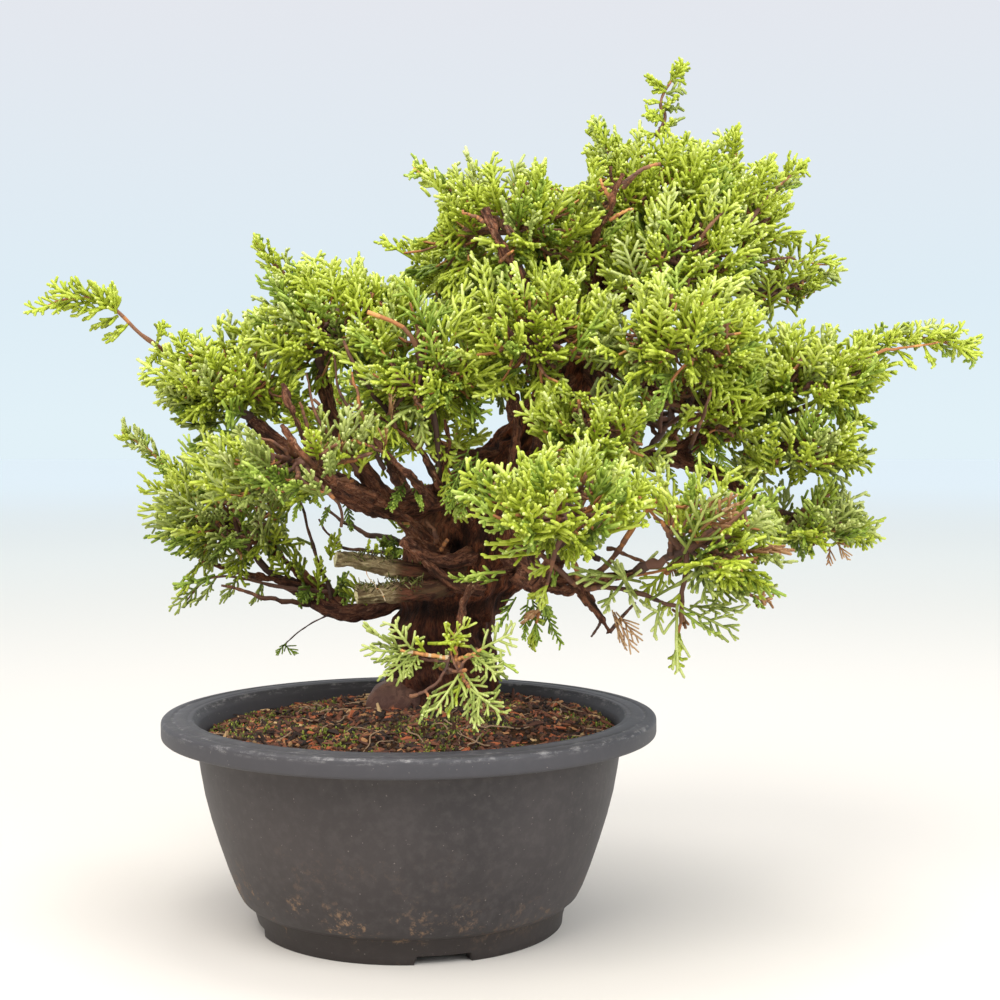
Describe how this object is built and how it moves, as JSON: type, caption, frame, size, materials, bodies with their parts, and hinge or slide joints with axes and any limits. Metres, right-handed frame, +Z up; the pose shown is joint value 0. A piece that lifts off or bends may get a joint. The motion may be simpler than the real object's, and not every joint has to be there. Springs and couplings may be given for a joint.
{
  "type": "potted juniper bonsai",
  "caption": "Small conifer bonsai with a leaning, swollen trunk and rounded pads of scale foliage, growing in soil in a round plastic training pot with a broad lip.",
  "frame": {"origin": "centre of the tree's outline seen from above, on the flat underside of the pot's foot", "axes": "+Z is up, out of the pot. -Y is the front of the tree, the side shown first. +X is to the right as seen from the front, the way that the trunk leans."},
  "size_m": [0.3728, 0.2526, 0.348],
  "materials": {
    "pot_plastic": "satin",
    "soil": "rough",
    "bark": "rough",
    "cut_wood": "matte",
    "foliage": "matte"
  },
  "bodies": {
    "root": {"pot": "pot_plastic", "soil": "soil", "trunk": "bark", "bough_left_low": "bark", "bough_left_mid": "bark", "bough_left_far": "bark", "bough_left_top": "bark", "bough_centre_left": "bark", "bough_upper_left": "bark", "bough_centre_upper": "bark", "bough_right_back": "bark", "bough_right_mid": "bark", "bough_right_low": "bark", "bough_right_far": "bark", "bough_top_right": "bark", "bough_right_upper": "bark", "bough_right_front": "bark", "bough_centre_front": "bark", "bough_front_pad": "bark", "bough_front_pad_right": "bark", "bough_hanging": "bark", "bough_right_inner": "bark", "bough_upper_right": "bark", "bough_back_upper_left": "bark", "bough_back_left": "bark", "bough_back_centre": "bark", "bough_back_right": "bark", "bough_back_top": "bark", "bough_back_low": "bark", "stub_upper": "cut_wood", "stub_lower": "cut_wood", "leaves_left_low": "foliage", "leaves_left_far": "foliage", "leaves_left_top": "foliage", "leaves_left_front": "foliage", "leaves_centre_left": "foliage", "leaves_upper_left": "foliage", "leaves_centre_upper": "foliage", "leaves_apex": "foliage", "leaves_top_right": "foliage", "leaves_right_upper": "foliage", "leaves_upper_right": "foliage", "leaves_right_front": "foliage", "leaves_right_inner": "foliage", "leaves_right_far": "foliage", "leaves_right_mid": "foliage", "leaves_right_low": "foliage", "leaves_centre_front": "foliage", "leaves_front_pad": "foliage", "leaves_front_pad_right": "foliage", "leaves_hanging": "foliage", "leaves_back_upper_left": "foliage", "leaves_back_left": "foliage", "leaves_back_centre": "foliage", "leaves_back_right": "foliage", "leaves_back_top": "foliage", "leaves_back_low": "foliage"}
  },
  "joints": []
}
